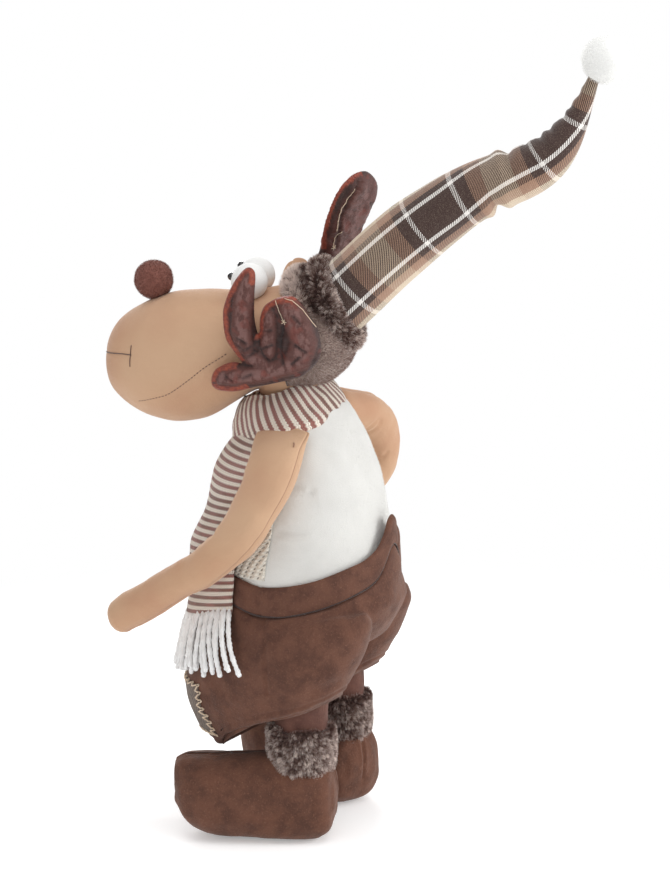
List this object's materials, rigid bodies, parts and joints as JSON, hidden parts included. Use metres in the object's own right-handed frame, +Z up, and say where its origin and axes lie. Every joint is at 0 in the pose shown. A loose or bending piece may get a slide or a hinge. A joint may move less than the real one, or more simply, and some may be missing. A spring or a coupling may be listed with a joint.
{
  "type": "plush deer",
  "caption": "Standing plush deer with a bent stocking hat, antlers, a knitted scarf, baggy felt trousers and weighted boots; head, hat, arms and scarf ends move.",
  "frame": {"origin": "on the floor, below the middle of the toy's bounding box", "axes": "+Z up, the deer faces -Y and its left side is +X"},
  "size_m": [0.216, 0.3746, 0.6056],
  "materials": {
    "tan_suede": "brushed cotton suede cloth, matt",
    "white_fleece": "short white fleece",
    "cream_knit": "knitted, with rows of eyelets",
    "brown_felt": "mottled brown felt, matt",
    "boot_felt": "mottled brown felt, matt",
    "tweed_patch": "grey tweed with cream stitches",
    "leg_cloth": "plain brown cloth",
    "boot_sole": "thin dark sole, matt",
    "pellets": "bag of plastic pellets",
    "brown_fur": "long-pile fur, dark roots and pale tips",
    "scarf_knit": "ribbed knit in brown and cream stripes",
    "white_yarn": "fluffy white yarn",
    "nose_felt": "fuzzy brown felt",
    "black_bead": "glossy",
    "antler_velvet": "dark brown velvet with an orange-brown rim",
    "plaid_twill": "brown, cream and white plaid twill"
  },
  "bodies": {
    "body": {"torso": "white_fleece", "knit_front": "cream_knit", "trousers": "brown_felt", "waistband": "brown_felt", "knee_patch": "tweed_patch", "leg_left": "leg_cloth", "leg_right": "leg_cloth", "boot_left": "boot_felt", "boot_right": "boot_felt", "sole_left": "boot_sole", "sole_right": "boot_sole", "pellet_bag_left": "pellets", "pellet_bag_right": "pellets", "boot_cuff_left": "brown_fur", "boot_cuff_right": "brown_fur", "neck": "tan_suede", "scarf_wrap": "scarf_knit"},
    "head": {"head": "tan_suede", "hood": "brown_fur", "hat_brim": "brown_fur", "nose_ball": "nose_felt", "eye_left": "white_yarn", "eye_right": "white_yarn", "pupil_left": "black_bead", "pupil_right": "black_bead", "ear_left": "tan_suede", "ear_right": "tan_suede", "antler_left": "antler_velvet", "antler_right": "antler_velvet"},
    "hat": {"hat_lower": "plaid_twill"},
    "hat_tip": {"hat_upper": "plaid_twill", "hat_pompom": "white_yarn"},
    "left_upper_arm": {"upper_arm_left": "tan_suede"},
    "left_forearm": {"forearm_left": "tan_suede"},
    "right_upper_arm": {"upper_arm_right": "tan_suede"},
    "right_forearm": {"forearm_right": "tan_suede"},
    "left_scarf_tail": {"scarf_tail_left": "scarf_knit", "fringe_left": "white_yarn"},
    "right_scarf_tail": {"scarf_tail_right": "scarf_knit", "fringe_right": "white_yarn"}
  },
  "joints": [
    {"name": "head_turn", "type": "hinge", "parent": "body", "child": "head", "pos_m": [0.00976, -0.04326, 0], "axis": [0, 0, 1], "range_deg": [-20, 20]},
    {"name": "hat_tilt", "type": "hinge", "parent": "head", "child": "hat", "pos_m": [0.00251, -0.01622, 0.402], "axis": [0.9659, 0.2588, 0], "range_deg": [-10, 12]},
    {"name": "hat_tip_bend", "type": "hinge", "parent": "hat", "child": "hat_tip", "pos_m": [-0.02597, 0.09009, 0.49099], "axis": [0.9659, 0.2588, 0], "range_deg": [-12, 12]},
    {"name": "left_shoulder_swing", "type": "hinge", "parent": "body", "child": "left_upper_arm", "pos_m": [0.07138, -0.02776, 0.29578], "axis": [-0.9455, 0, -0.3256], "range_deg": [-10, 20]},
    {"name": "left_elbow_bend", "type": "hinge", "parent": "left_upper_arm", "child": "left_forearm", "pos_m": [0.09398, -0.05795, 0.23014], "axis": [-1, 0, 0], "range_deg": [-10, 30]},
    {"name": "right_shoulder_lift", "type": "hinge", "parent": "body", "child": "right_upper_arm", "pos_m": [-0.03874, -0.03526, 0.311], "axis": [0, 1, 0], "range_deg": [0, 30]},
    {"name": "right_elbow_bend", "type": "hinge", "parent": "right_upper_arm", "child": "right_forearm", "pos_m": [-0.0938, -0.02255, 0.275], "axis": [-0.3759, -0.8891, 0.2611], "range_deg": [-45, 0]},
    {"name": "left_tail_swing", "type": "hinge", "parent": "body", "child": "left_scarf_tail", "pos_m": [0.00976, -0.09476, 0.293], "axis": [-1, 0, 0], "range_deg": [0, 20]},
    {"name": "right_tail_swing", "type": "hinge", "parent": "body", "child": "right_scarf_tail", "pos_m": [0.00976, -0.09476, 0.293], "axis": [-1, 0, 0], "range_deg": [0, 30]}
  ]
}
